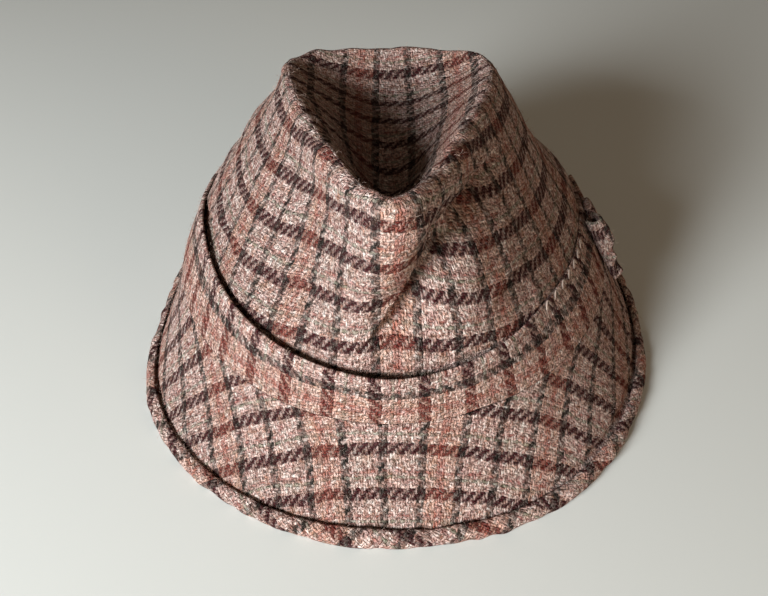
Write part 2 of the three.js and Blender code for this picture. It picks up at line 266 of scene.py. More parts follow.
def put(tree, kind, inputs=None, **settings):
    """A new node with its settings, and its inputs set to values or joined to sockets."""
    node = tree.nodes.new(kind)
    for name, value in settings.items():
        setattr(node, name, value)
    for name, value in (inputs or {}).items():
        if isinstance(value, bpy.types.NodeSocket):
            tree.links.new(value, node.inputs[name])
        else:
            node.inputs[name].default_value = value
    return node


def calc(tree, operation, *values, kind="ShaderNodeMath"):
    return put(tree, kind, dict(enumerate(values)), operation=operation).outputs[0]


def blend(tree, how, share, first, second):
    inputs = {0: share, 6: first, 7: second}
    return put(tree, "ShaderNodeMix", inputs, data_type="RGBA", blend_type=how).outputs[2]


def choose(tree, share, first, second):
    return put(tree, "ShaderNodeMix", {0: share, 2: first, 3: second}, data_type="FLOAT").outputs[0]


def noise(tree, vector, scale, detail, distortion=0.0):
    return put(tree, "ShaderNodeTexNoise", {"Vector": vector, "Scale": scale, "Detail": detail,
                                            "Distortion": distortion})


def spread_range(tree, value, low, high, start=0.0, end=1.0):
    limits = {"From Min": low, "From Max": high, "To Min": start, "To Max": end}
    return put(tree, "ShaderNodeMapRange", {"Value": value, **limits}).outputs["Result"]


def colour_ramp(tree, share, stops, interpolation="LINEAR"):
    """A ramp through stops of (place, colour code) or (place, colour code, alpha)."""
    node = put(tree, "ShaderNodeValToRGB", {"Fac": share})
    ramp = node.color_ramp
    ramp.interpolation = interpolation
    while len(ramp.elements) < len(stops):
        ramp.elements.new(1.0)
    for element, (place, *colour) in zip(ramp.elements, stops):
        element.position = place
        element.color = linear(*colour)
    return node.outputs


def thread_chart(tree, thread, runs):
    """The wool of a numbered thread, from runs of threads that repeat."""
    repeat = repeat_of(runs)
    number = calc(tree, "WRAP", thread, float(repeat), 0.0)
    share = calc(tree, "DIVIDE", calc(tree, "ADD", number, 0.5), float(repeat))
    starts = np.cumsum([0] + [run for _, run in runs[:-1]]) / repeat
    stops = [(start, *WOOLS[wool]) for start, (wool, _) in zip(starts, runs)]
    return colour_ramp(tree, share, stops, "CONSTANT")


# %% [markdown]
# ## The weave
# Each noise has its own grain, and a range in which it shows. A dark thread still shows a little
# between the threads that lie over it, which keeps the check strong, and where a warm column
# crosses a dark bar the two wools make a third colour.

# %% Values of the weave
RAGGED_MM, WANDER_MM = 1.9, 2.6  # how far noise moves a thread's edge, close by and over the cloth
FLOAT_REPEAT, FLOAT = 4.0, 2.0  # threads to a thread's next float, and threads under a float
WARP_STEP, WEFT_STEP = 1.0, -2.0  # where the floats start, so that one lies where the other dips
ARCH = (0.55, 0.45)  # the share of a float's height that bends over, and the share that doesn't
PALE_FIBRE = "faf1ea"
SHOW_THROUGH = 0.48  # how much of a thread shows between the threads over it
CROSSING, CROSSING_COVER = "74302c", 0.55  # where the warm columns cross the dark bars
TONE = Named(chance=0.4, marl=0.6)  # how much of a yarn's tone is its own, and how much is marl
FELT, YARN = 0.6, 0.6  # shares of felting and of the twill in the height
LIFTS = {"hairs": 0.4, "tone": 0.4, "strands": 0.5}  # what else adds to the height
STRANDS_OFF_STRIPES = -0.7  # pale strands keep off the coloured threads
GRAINS = {  # scale, detail and twist of each noise
    "ragged": (0.9, 4.0), "wander": (0.06, 1.0), "marl": (0.6, 3.0), "drift": (0.22, 2.0),
    "worn": (0.3, 2.0), "felted": (0.8, 3.0), "strands": (0.9, 2.0, 2.2), "hairs": (2.6, 2.0, 1.0),
}
# The pits range paints shade into the colour: low places between the threads come out darker.
RANGES = {  # from, to, and what these become if it isn't 0 and 1
    "over": (-0.25, 0.25), "marl": (0.35, 0.65), "drift": (0.5, 0.72), "worn": (0.36, 0.62, 0.56, 1.0),
    "warm": (0.1, 0.3), "felted": (0.33, 0.67), "painted_pit_shade": (0.22, 0.8, 0.33, 1.0), "strands": (0.54, 0.68),
}
print("noises in the weave:", sorted(GRAINS))

# %% The weave


def weave_group():
    tree = bpy.data.node_groups.new("tweed_weave", "ShaderNodeTree")
    sockets = {"INPUT": {"Cloth": "Vector", "Thread pitch": "Float", "Fuzz": "Float"},
               "OUTPUT": {"Colour": "Color", "Height": "Float"}}
    for side, kinds in sockets.items():
        for title, kind in kinds.items():
            tree.interface.new_socket(title, in_out=side, socket_type="NodeSocket" + kind)
    node, maths = partial(put, tree), partial(calc, tree)
    given = node("NodeGroupInput").outputs
    cloth = given["Cloth"]
    times = partial(maths, "MULTIPLY")
    times_plus = partial(maths, "MULTIPLY_ADD")
    mix = partial(blend, tree, "MIX")

    def grain(name, output="Fac"):
        return noise(tree, cloth, *GRAINS[name]).outputs[output]

    def ranged(name, value):
        return spread_range(tree, value, *RANGES[name])

    moved = cloth
    for name, reach in (("ragged", RAGGED_MM), ("wander", WANDER_MM)):
        shift = maths("SUBTRACT", grain(name, "Color"), (0.5,) * 3, kind="ShaderNodeVectorMath")
        moved = maths("MULTIPLY_ADD", shift, (reach,) * 3, moved, kind="ShaderNodeVectorMath")
    place = node("ShaderNodeSeparateXYZ", {"Vector": moved}).outputs
    warp, weft = (maths("DIVIDE", place[axis], given["Thread pitch"]) for axis in "XY")
    warp_thread, weft_thread = (maths("FLOOR", number) for number in (warp, weft))

    def floats(along, across, thread, step):
        """How a thread's float bends at a place, its height there, and a chance value for it."""
        from_start = maths("ADD", maths("SUBTRACT", along, thread), step)
        share = maths("DIVIDE", maths("WRAP", from_start, FLOAT_REPEAT, 0.0), FLOAT)
        width = maths("SINE", times(maths("FRACT", across), math.pi))
        arch = maths("SINE", times(share, math.pi))
        number = maths("FLOOR", maths("DIVIDE", from_start, FLOAT_REPEAT))
        name = node("ShaderNodeCombineXYZ", {"X": thread, "Y": number, "Z": step}).outputs[0]
        chance = node("ShaderNodeTexWhiteNoise", {"Vector": name}).outputs["Value"]
        return arch, times(width, times_plus(arch, *ARCH)), chance

    warp_arch, warp_height, warp_chance = floats(weft, warp, warp_thread, WARP_STEP)
    _, weft_height, weft_chance = floats(warp, weft, weft_thread, WEFT_STEP)
    warp_over = ranged("over", warp_arch)
    height = choose(tree, warp_over, weft_height, warp_height)
    chance = choose(tree, warp_over, weft_chance, warp_chance)

    marl = ranged("marl", grain("marl"))
    tone = times_plus(chance, TONE.chance, times(marl, TONE.marl))
    heather = colour_ramp(tree, tone, HEATHER)["Color"]
    drift = node("ShaderNodeSeparateColor", {"Color": grain("drift", "Color")}).outputs
    for channel, (tint, cover) in PATCHES.items():
        share = spread_range(tree, drift[channel], *RANGES["drift"], 0.0, cover)
        heather = mix(share, heather, linear(tint))

    warp_wool = thread_chart(tree, warp_thread, WARP_RUNS)
    weft_wool = thread_chart(tree, weft_thread, WEFT_RUNS)
    weft_shows = times_plus(warp_over, SHOW_THROUGH - 1, 1.0)
    warp_shows = times_plus(warp_over, 1 - SHOW_THROUGH, SHOW_THROUGH)
    weft_cover = times(weft_wool["Alpha"], weft_shows)
    warp_cover = times(warp_wool["Alpha"], times(warp_shows, ranged("worn", grain("worn"))))
    colour = mix(weft_cover, heather, weft_wool["Color"])
    colour = mix(warp_cover, colour, warp_wool["Color"])
    parts = node("ShaderNodeSeparateColor", {"Color": warp_wool["Color"]}).outputs
    warm = ranged("warm", maths("SUBTRACT", parts["Red"], parts["Green"]))
    colour = mix(times(times(weft_cover, warm), CROSSING_COVER), colour, linear(CROSSING))

    height = times_plus(ranged("felted", grain("felted")), FELT, times(height, YARN))
    # Painted shade: the colour is darkened where the height is low, in the pits between the threads and in
    # the felting.
    colour = blend(tree, "MULTIPLY", 1.0, colour, ranged("painted_pit_shade", height))
    bare = times_plus(maths("MAXIMUM", weft_cover, warp_cover), STRANDS_OFF_STRIPES, 1.0)
    strands = times(times(ranged("strands", grain("strands")), given["Fuzz"]), bare)
    colour = mix(strands, colour, linear(PALE_FIBRE))
    for name, part in (("hairs", grain("hairs")), ("tone", tone), ("strands", strands)):
        height = times_plus(part, LIFTS[name], height)
    node("NodeGroupOutput", {"Colour": colour, "Height": height})
    return tree


WEAVE = weave_group()
print("weave group:", len(WEAVE.nodes), "nodes")

# %% Tweed for each piece
CLOTH_MAP = "cloth"  # the UV map that holds a piece's place on the flat cloth, in millimetres
YARN_RELIEF = 1.7 * MM
FUZZ = 0.4
WOOL_LOOK = {"Roughness": 0.95, "Specular IOR Level": 0.03, "Sheen Weight": 0.01,
             "Sheen Roughness": 0.5, "Sheen Tint": linear("e8c9b8")}


def tweed(name):
    material = bpy.data.materials.new(name)
    material.use_nodes = True
    tree = material.node_tree
    tree.nodes.clear()
    cloth = put(tree, "ShaderNodeUVMap", uv_map=CLOTH_MAP).outputs["UV"]
    cut = {"Cloth": cloth, "Thread pitch": THREAD_PITCH, "Fuzz": FUZZ}
    woven = put(tree, "ShaderNodeGroup", cut, node_tree=WEAVE).outputs
    bump = put(tree, "ShaderNodeBump", {"Height": woven["Height"], "Distance": YARN_RELIEF, "Strength": 1.0})
    shader = put(tree, "ShaderNodeBsdfPrincipled", {
        "Base Color": woven["Colour"], "Normal": bump.outputs["Normal"], **WOOL_LOOK})
    put(tree, "ShaderNodeOutputMaterial", {"Surface": shader.outputs["BSDF"]})
    return material


SLOTS = ["crown_tweed", "tip_tweed", "brim_tweed", "binding_tweed", "band_tweed", "bow_tweed"]
TWEEDS = {slot: tweed(slot) for slot in SLOTS}
print("materials:", sorted(TWEEDS))

# %% [markdown]
# ## From formulas to a mesh
# Nearly every piece of this hat is a strip of cloth that closes on itself. Its section is a loop:
# up its face, over an edge, down its back, and round the other edge. A Solidify modifier would
# give a wall too, but only one of even thickness. Sweeping the loop round the hat gives a closed
# body with no holes, and each corner also gets its place on the flat cloth, in millimetres, in a
# UV map. The weave then follows the cut of the piece as it does on real cloth.

# %% Sections and flat patterns
CORNER_STEPS = 4


def cloth_section(length, face_rows, back_rows, thickness, foot_corner, top_corner):
    """(place, depth) round a strip of cloth with soft edges, starting at the foot of its face."""
    angle = np.linspace(0, math.pi / 2, CORNER_STEPS)
    from_edge, dip = 1 - np.cos(angle), 1 - np.sin(angle)
    foot = foot_corner / length * from_edge
    top = 1 - top_corner / length * from_edge[::-1]
    sides = []
    for count in (face_rows, back_rows):
        middle = np.linspace(foot[-1], top[0], count)[1:-1]
        place = np.concatenate([foot, middle, top])
        depth = np.concatenate([foot_corner * dip, 0 * middle, top_corner * dip[::-1]])
        sides.append((place, depth))
    (face_place, face_depth), (back_place, back_depth) = sides
    place = np.concatenate([face_place, back_place[::-1]])
    depth = np.concatenate([face_depth, thickness - back_depth[::-1]])
    return place[:, None], depth[:, None]


def turns_round(sides):
    """Turns from the back seam once round the hat, with the seam at both ends."""
    return np.linspace(-math.pi, math.pi, sides + 1)[None, :]


def step_lengths(points):
    return np.linalg.norm(np.diff(points, axis=0), axis=1)


def summed(steps):
    """The sums of steps from the start, one more than there are steps."""
    return np.concatenate([[0], np.cumsum(steps)])


def flat_pattern(u, v, at):
    """Moves a piece's pattern so that a rust warp stripe and a dark weft stripe lie where asked."""
    return spread_out(u - at[0] + RUST_THREAD * THREAD_PITCH, v - at[1] + DARK_THREAD * THREAD_PITCH)


# %% Swept meshes
WELD_DISTANCE = 1e-6


def show(name, data):
    shown = bpy.data.objects.new(name, data)
    bpy.context.scene.collection.objects.link(shown)
    return shown


def mesh_of(name, points, edges, faces):
    mesh = bpy.data.meshes.new(name)
    mesh.from_pydata((points + CENTRE) * MM, edges, faces)
    return mesh


def new_piece(node, slot, points, faces, cloth_corners):
    """The cloth that replaces a solid: its mesh, flat pattern and tweed."""
    mesh = mesh_of(node + "_cloth", points, [], faces)
    uv = mesh.uv_layers.new(name=CLOTH_MAP)
    uv.data.foreach_set("uv", np.asarray(cloth_corners, np.float32).ravel())
    mesh.materials.append(TWEEDS[slot])
    mesh.shade_smooth()
    body = bmesh.new()
    body.from_mesh(mesh)
    bmesh.ops.remove_doubles(body, verts=body.verts, dist=WELD_DISTANCE)
    body.to_mesh(mesh)
    volume = body.calc_volume(signed=True) / MM ** 3 / 1000
    holes = sum(1 for edge in body.edges if not edge.is_manifold)
    triangles = sum(len(face.verts) - 2 for face in body.faces)
    body.free()
    piece = show(mesh.name, mesh)
    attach(piece, "root")
    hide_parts(node)
    print(f"{piece.name}: {triangles} triangles, {volume:.1f} cm3, {holes} open edges")


def swept_piece(node, slot, rows, cloth, open_after=None):
    """rows and cloth have one column more than the mesh has sides: the last one repeats the first.
    open_after names a row with no faces behind it, where a sheet ends on a line."""
    count, sides = rows.shape[0], rows.shape[1] - 1
    r, k = np.meshgrid(np.arange(count), np.arange(sides), indexing="ij")
    if open_after is not None:
        kept = np.arange(count) != open_after
        r, k = r[kept], k[kept]
    after = (r + 1) % count
    beside = (k + 1) % sides
    faces = spread_out(r * sides + k, r * sides + beside, after * sides + beside, after * sides + k)
    corners = np.stack([cloth[r, k], cloth[r, k + 1], cloth[after, k + 1], cloth[after, k]], 2)
    new_piece(node, slot, rows[:, :-1].reshape(-1, 3), faces.reshape(-1, 4), corners)


# %% [markdown]
# ## Folds that no formula of the solids holds
# Cloth is never quite smooth. A seeded lattice of random numbers, read with soft steps, gives a
# gentle unevenness that closes on itself, because it is read at the point in space and not at
# its place in the mesh. Real folds are added to it from tables.

# %% Unevenness
LATTICE = 24


def unevenness(points, grain, seed):
    """Smooth noise between -1 and 1 that changes over about grain millimetres."""
    lattice = np.random.default_rng(seed).uniform(-1, 1, (LATTICE,) * 3)
    place = points / grain
    cell = np.floor(place).astype(int)
    share = ease(place - cell, 0, 1)
    total = 0.0
    for corner in np.ndindex(2, 2, 2):
        index = (cell + corner) % LATTICE
        weight = np.prod(np.where(corner, share, 1 - share), axis=-1)
        total = total + weight * lattice[index[..., 0], index[..., 1], index[..., 2]]
    return total


def lumps(points, *layers):
    """Layers of unevenness, each a height, a grain and a seed."""
    return sum(height * unevenness(points, grain, seed) for height, grain, seed in layers)


print(f"a lattice of {LATTICE ** 3} random numbers, which repeats after {LATTICE} grains")

# %% [markdown]
# ## The side wall
# The side wall is cut as one curved strip and sewn up at the back, with its threads upright at
# the front. A cloth simulation could drape it, but its folds would fall anywhere, so they are
# drawn from tables. Laying the strip flat again gives the weave its direction: at each small step
# round the hat the foot is longer than the top, so it turns by the difference over its height.

# %% The side wall's flat pattern
SIDES = 660


def laid_flat(foot, top):
    """The flat pattern of a leaning strip: the place of its foot, and the way up from there."""
    foot_step = step_lengths(foot)
    height = np.linalg.norm(top - foot, axis=1)
    front = len(foot) // 2
    bend = summed((foot_step - step_lengths(top)) / height[1:])
    bend = bend - bend[front]
    middle = (bend[1:] + bend[:-1]) / 2
    x, y = summed(foot_step * np.cos(middle)), summed(foot_step * np.sin(middle))
    return spread_out(x - x[front], y - y[front]), spread_out(-np.sin(bend), np.cos(bend)), height


turns = turns_round(SIDES)
side_at, side_up, side_height = laid_flat(crown_point(turns[0], 0.0, False),
                                          crown_point(turns[0], CREST.start, False))
print(f"the wall is {side_height.min():.0f} to {side_height.max():.0f} mm high on the flat")

# %% Folds of the side wall
FOLDS = [  # a path of (turn, rise) on the wall, how deep the cloth drops there, and the lip over it
    {"path": [(-10, 0.27), (-3.5, 0.38), (1.2, 0.46), (4, 0.55), (10, 0.62), (20, 0.68), (28, 0.73),
              (38, 0.77), (52, 0.76), (64, 0.72)],
     "drop": 6.2, "reach": 12.0, "lip": 2.4, "lip_reach": 6.0},
    {"path": [(-42, 0.39), (-32, 0.425), (-24, 0.46)],
     "drop": 1.6, "reach": 4.0, "lip": 1.0, "lip_reach": 3.5},
    {"path": [(-98, 0.18), (-71, 0.307), (-56, 0.36)],
     "drop": 1.3, "reach": 5.0, "lip": 0.9, "lip_reach": 5.0},
    {"path": [(24, 0.35), (44, 0.42), (64, 0.40)],
     "drop": 0.9, "reach": 6.0, "lip": 0.6, "lip_reach": 5.0},
]
FOLD_STEPS = 90
FOLD_EDGE = 0.9  # half the width of a fold's drop
FOLD_ENDS = 0.3  # the share of a fold over which it fades at each end
SWELLS = [  # turn and rise of the middle, spread of both, height
    (-108, 0.79, 24, 0.10, -3.2),
    (-100, 0.57, 20, 0.08, 1.2),
    (-112, 0.32, 22, 0.12, 2.6),
    (104, 0.26, 22, 0.11, 2.7),
    (106, 0.52, 24, 0.14, -2.4),
]
CROWN_LUMPS = [(0.6, 24, 1), (0.45, 9, 2), (0.2, 4.5, 3)]
RIDGE_ROLL = Named(height=0.8, lumps=(1.1, 8.0, 4), spread=0.12)  # wool that stands over the ridge


def ridge_roll(points, from_ridge):
    height = RIDGE_ROLL.height + lumps(points, RIDGE_ROLL.lumps)
    return height * bell(from_ridge, RIDGE_ROLL.spread)


def swells(turn, rise):
    turn_deg = np.degrees(turn)
    total = 0.0
    for at_turn, at_rise, turn_spread, rise_spread, height in SWELLS:
        away = ((turn_deg - at_turn) / turn_spread) ** 2 + ((rise - at_rise) / rise_spread) ** 2
        total = total + height * np.exp(-away)
    return total


def wall_flat(turn, rise):
    """A place on the wall, on its flat pattern."""
    columns = (*side_at.T, *side_up.T, side_height)
    x, y, up_x, up_y, height = (np.interp(turn, turns[0], column) for column in columns)
    climb = height * rise / CREST.start
    return spread_out(x + up_x * climb, y + up_y * climb)


def fold_relief(cloth, fold):
    """The cloth drops along a path, and on the path's left it stands up in a lip."""
    rows = np.array(fold["path"], float)
    share = np.linspace(0, 1, FOLD_STEPS)
    stops = np.linspace(0, 1, len(rows))
    path = wall_flat(np.radians(np.interp(share, stops, rows[:, 0])), np.interp(share, stops, rows[:, 1]))
    heading = unit(np.gradient(path, axis=0))
    offset = cloth[..., None, :] - path
    away = np.linalg.norm(offset, axis=-1)
    nearest = np.argmin(away, axis=-1)
    away = np.take_along_axis(away, nearest[..., None], -1)[..., 0]
    offset = np.take_along_axis(offset, nearest[..., None, None], -2)[..., 0, :]
    side = np.sign(heading[nearest][..., 0] * offset[..., 1] - heading[nearest][..., 1] * offset[..., 0])
    fade = ease(share, 0, FOLD_ENDS) * (1 - ease(share, 1 - FOLD_ENDS, 1))
    above = ease(side * away, -FOLD_EDGE, FOLD_EDGE)
    lip = fold["lip"] * bell(away, fold["lip_reach"])
    drop = -fold["drop"] * np.exp(-away / fold["reach"])
    return fade[nearest] * lerp(drop, lip, above)


print(f"{len(FOLDS)} folds and {len(SWELLS)} swells on the side wall")

# %% The side wall
SIDE_AT = (2.0, 45.0)  # where a rust and a dark stripe lie on the flat pattern, for each piece
SIDE_CORNER = 0.05  # the ridge is a fold, so no edge shows there
SIDE_ROWS, SIDE_BACK_ROWS = 122, 12
SIDE_SMOOTH = 0.1  # the foot lies smooth under the band, up to this rise
BACK_SEAM = Named(depth=0.9, spread=0.9, ends=(0.7, 0.86))  # the two ends of the strip meet behind
CREST_LENGTH = CREST.radius * 1.2  # round the roll, from the wall's top to the ridge

side_rise, side_depth = cloth_section(side_height.mean(), SIDE_ROWS, SIDE_BACK_ROWS, CLOTH,
                                      SIDE_CORNER, SIDE_CORNER)
side_skin = crown_point(turns, side_rise)
side_square = square_to(crown_point, turns, side_rise)
side_over = np.clip((side_rise - CREST.start) / (1 - CREST.start), 0, 1)
side_climb = side_height * np.minimum(side_rise / CREST.start, 1) + CREST_LENGTH * side_over
side_flat = side_at + side_up * side_climb[..., None]
side_relief = lumps(side_skin, *CROWN_LUMPS) + ridge_roll(side_skin, 1 - side_rise)
side_relief = side_relief + swells(turns, side_rise)
for fold in FOLDS:
    side_relief = side_relief + fold_relief(side_flat, fold)
back_seam = BACK_SEAM.depth * bell(np.degrees(math.pi - np.abs(turns)), BACK_SEAM.spread)
side_relief = side_relief - back_seam * (1 - ease(side_rise, *BACK_SEAM.ends))
side_relief = side_relief * ease(side_rise, 0.0, SIDE_SMOOTH)
side_rows = side_skin + side_square * (side_relief - side_depth)[..., None]
swept_piece("crown_side", "crown_tweed", side_rows,
            flat_pattern(side_flat[..., 0], side_flat[..., 1], SIDE_AT))
woolly_sheets = [side_rows[:SIDE_ROWS]]  # the faces that get loose wool

# %% [markdown]
# ## The tip
# The tip is a flat oval of cloth, sewn in along the ridge and pressed down along its middle. A
# square grid would meet the ridge in steps, so its rows run from the ridge down to a line along
# the dent's floor, where both sides meet and are welded. On the flat pattern each row keeps its
# length from that line.

# %% The tip
DENT = Named(front_inset=20.0, back_inset=27.0, steepness=0.75, front_steepness=1.1)
DENT_FRONT = (0.3, 0.95)  # the wall of the dent falls more gently in front, by the turn's cosine
DENT_DEPTH = [(0.0, 23.0), (0.4, 29.0), (1.0, 17.0)]
RIDGE_GAP = 0.02  # the two cloths meet on the fold of the ridge
FLOOR_FRONT = RIDGE.tip_y + DENT.front_inset
FLOOR_BACK = RIDGE.back_y - DENT.back_inset
TIP_ROWS, TIP_CROWDING = 72, 1.2  # rows lie closer together near the ridge
TIP_SMOOTH = 0.9  # the lumps fade from here to the dent's floor
TIP_AT = (-13.2, 0.0)


def dent_depth(place):
    (start, low), (middle, deep), (end, high) = DENT_DEPTH
    front = lerp(low, deep, ease(place, start, middle))
    return np.where(place <= middle, front, lerp(deep, high, ease(place, middle, end)))


def tip_point(turn, inset):
    turn, inset = np.broadcast_arrays(turn, inset)
    ridge = ridge_point(turn) - ridge_outward(turn) * RIDGE_GAP
    floor_y = np.clip(ridge[..., 1], FLOOR_FRONT, FLOOR_BACK)
    depth = dent_depth((floor_y - FLOOR_FRONT) / (FLOOR_BACK - FLOOR_FRONT))
    steepness = lerp(DENT.steepness, DENT.front_steepness, ease(np.cos(turn), *DENT_FRONT))
    fall = np.sin(math.pi / 2 * inset ** steepness) ** 2
    floor_z = ridge_height(floor_y) - depth
    return spread_out(lerp(ridge[..., 0], 0, inset), lerp(ridge[..., 1], floor_y, inset),
                      lerp(ridge[..., 2], floor_z, fall))


print(f"the dent is up to {max(depth for _, depth in DENT_DEPTH):.0f} mm deep")

# %% The tip's mesh
tip_inset = np.linspace(0, 1, TIP_ROWS)[:, None] ** TIP_CROWDING
tip_skin = tip_point(turns, tip_inset)
tip_square = square_to(tip_point, turns, np.clip(tip_inset, 0.01, 0.99))
tip_square[0], tip_square[-1] = UP, UP
steps = np.linalg.norm(np.diff(tip_skin, axis=0), axis=2)
from_floor = np.concatenate([np.cumsum(steps[::-1], axis=0)[::-1], np.zeros((1, SIDES + 1))])
to_ridge = unit(tip_skin[0, :, :2] - tip_skin[-1, :, :2])
tip_flat = tip_skin[-1, :, :2] + to_ridge * from_floor[..., None]
tip_relief = lumps(tip_skin, *CROWN_LUMPS) * (1 - ease(tip_inset, TIP_SMOOTH, 1.0))
tip_relief = tip_relief + ridge_roll(tip_skin, tip_inset)
tip_face = tip_skin + tip_square * tip_relief[..., None]
tip_back = tip_skin - tip_square * CLOTH
tip_cloth = flat_pattern(tip_flat[..., 0], tip_flat[..., 1], TIP_AT)
swept_piece("crown_tip", "tip_tweed", np.concatenate([tip_face, tip_back[::-1]]),
            np.concatenate([tip_cloth, tip_cloth[::-1]]), open_after=TIP_ROWS - 1)
woolly_sheets.append(tip_face)

# %% [markdown]
# ## The brim
# The brim is cut as a flat ring, so its stripes cross the front straight and meet the edge at a
# slant at the sides. Its section runs from the edge up to the headline and back underneath, and
# is thicker at the headline, where the side wall stands on it.

# %% The brim
BRIM = Named(cloth=2.4, root_out=2.2, root_blend=0.3, flare=0.35, edge_z=1.9, length=43.0)
BRIM_ROWS, BRIM_BACK_ROWS = 64, 16
BRIM_CORNERS = (0.2, 0.05)  # of the edge and of the root, as shares of the thickness
BRIM_LUMPS = [(0.5, 34, 5), (0.2, 9, 6)]
BRIM_SMOOTH = Named(root=(0.02, 0.15), edge=(0.8, 0.95))  # where the lumps fade in and out
BRIM_AT = (19.3, -130.2)
GUTTER = Named(fall=0.885, spread=0.04, depth=1.1)  # where the binding's seam pulls the brim in
brim_spread = round_table([(0, 22.8), (38, 26), (90, 20.4), (140, 19), (180, 20), (225, 16.5),
                           (270, 13.4), (300, 23.4), (335, 24)])


def brim_point(turn, fall):
    turn, fall = np.broadcast_arrays(turn, fall)
    out = brim_spread(turn) * lerp(fall, fall * fall, BRIM.flare)
    z = lerp(HEADLINE_Z - SEAM_GAP, BRIM.edge_z, fall)
    return head_oval(turn, BRIM.root_out, z) + oval_outward(turn) * out[..., None]


print(f"the brim stands out by {brim_spread(turns).min():.1f} to {brim_spread(turns).max():.1f} mm")

# %% The brim's mesh
brim_place, brim_depth = cloth_section(BRIM.length, BRIM_ROWS, BRIM_BACK_ROWS, 1.0, *BRIM_CORNERS)
brim_fall = 1 - brim_place
brim_inward = square_to(brim_point, turns, brim_fall)
brim_skin = brim_point(turns, brim_fall)
brim_thick = lerp(CLOTH + BRIM.root_out, BRIM.cloth, ease(brim_fall, 0, BRIM.root_blend))
brim_relief = lumps(brim_skin, *BRIM_LUMPS) * ease(brim_fall, *BRIM_SMOOTH.root)
brim_relief = brim_relief * (1 - ease(brim_fall, *BRIM_SMOOTH.edge))
brim_relief = brim_relief - GUTTER.depth * bell(brim_fall - GUTTER.fall, GUTTER.spread)
brim_rows = brim_skin + brim_inward * (brim_thick * brim_depth - brim_relief)[..., None]
brim_slant = np.linalg.norm(brim_skin - brim_point(turns, 0.0), axis=-1)
brim_flat = head_oval(turns, BRIM.root_out, 0.0)[..., :2]
brim_flat = brim_flat + oval_outward(turns)[..., :2] * brim_slant[..., None]
swept_piece("brim", "brim_tweed", brim_rows, flat_pattern(brim_flat[..., 0], brim_flat[..., 1], BRIM_AT))
woolly_sheets.append(brim_rows[2 * CORNER_STEPS:BRIM_ROWS])

# %% [markdown]
# ## The binding
# A strip cut on the bias is folded over the brim's edge and sewn down, and its roll is plumper
# than a flat strip would be. A curve with a round bevel could follow the edge, but would look
# like a cord, so a squarish section is swept. The hat rests on it, so it is flat underneath.

# %% The binding
BINDING = Named(lip=5.2, nose=2.0, plump=3.7, squareness=0.85)
BINDING_SIDES, ROLL_STEPS = 900, 30
BINDING_LUMPS = [(0.6, 4.5, 7), (0.5, 14, 8)]
BINDING_AT = (0.0, 0.0)
BIAS = math.radians(38)


def binding_section():
    """(along, across) round the strip: along runs down the brim, across stands off its middle."""
    inside = BRIM.cloth / 2 + SEAM_GAP
    half = (BINDING.lip + BINDING.nose) / 2
    gutter = math.pi - math.asin((inside / BINDING.plump) ** (1 / BINDING.squareness))
    angle = np.linspace(gutter, -gutter, ROLL_STEPS)
    way = spread_out(np.cos(angle), np.sin(angle))
    roll = np.abs(way) ** BINDING.squareness * np.sign(way)
    roll = roll * (half, BINDING.plump) + (BINDING.nose - half, 0.0)
    channel = np.array([[SEAM_GAP, -inside], [SEAM_GAP, inside]])
    return np.concatenate([roll, channel])


section = binding_section()
print(f"the binding's section has {len(section)} points")

# %% The binding's mesh
along, across = section[:, None, :1], section[:, None, 1:]
binding_turn = turns_round(BINDING_SIDES)
edge_square = -square_to(brim_point, binding_turn, 1.0)
edge_middle = brim_point(binding_turn, 1.0) - edge_square * BRIM.cloth / 2
downhill = unit(brim_point(binding_turn, 1.0) - brim_point(binding_turn, 0.8))
binding_rows = edge_middle + downhill * along + edge_square * across
outer = unit(edge_square * across + downhill * (along + BINDING.lip / 2))
shown = (np.arange(len(section)) < ROLL_STEPS)[:, None]
binding_rows = binding_rows + outer * (lumps(binding_rows, *BINDING_LUMPS) * shown)[..., None]
binding_rows[..., 2] = np.maximum(binding_rows[..., 2], 0)
edge_along = summed(step_lengths(edge_middle[0]))[None]
section_along = summed(step_lengths(section))[:, None]
strip_u = edge_along * math.cos(BIAS) + section_along * math.sin(BIAS)
strip_v = section_along * math.cos(BIAS) - edge_along * math.sin(BIAS)
swept_piece("brim_binding", "binding_tweed", binding_rows[::-1],
            flat_pattern(strip_u, strip_v, BINDING_AT)[::-1])
woolly_sheets.append(binding_rows[ROLL_STEPS // 3::-1])

# %% [markdown]
# ## The band
# The band is a straight strip with both edges turned in. It lies on the foot of the side wall,
# and at the wearer's right its upper edge stands off, with a dark gap behind it. A Shrinkwrap
# modifier would close that gap, so the band follows the wall's formula at a distance from a
# table. Its threads run along it, so the warp's stripes are rows round the hat.

# %% The band
BAND = Named(cloth=1.9, flat_height=20.0, clear=0.45)
BAND_ROWS, BAND_BACK_ROWS = 34, 8
BAND_CORNERS = (0.2, 0.9)
BAND_LUMPS = [(0.45, 30, 9), (0.2, 8, 10)]
BAND_AT = (14.2, -5.4)
BAND_FOOT = -0.02  # the seam pulls the band's foot down on the brim
BAND_LOOSE = 0.3  # how far the band stands off by itself
GAPE_FROM = 0.1  # the rise at which the band begins to gape
band_height = round_table([(0, 21.6), (22, 21.2), (45, 20), (68, 17.4), (90, 16.0), (112, 15.2), (140, 17.5),
                           (180, 20), (235, 18), (258, 17.6), (290, 20.2), (320, 21), (345, 21.8)])
band_stand = round_table([(0, 1.2), (40, 0.4), (90, 0.3), (180, 0.4), (240, 0.4), (280, 2.6), (310, 2.8)])
band_gape = round_table([(0, 0.4), (25, 0.0), (90, 0.0), (180, 0.0), (260, -0.3), (300, -0.9), (330, -0.2)])
TACK = Named(start=(30.0, 44.0), end=(78.0, 86.0), rise=0.55, thinner=0.7)  # sewn down by hand here
PUCKER = Named(turn=22.0, spread=5.0, lift=2.4, out=1.2)


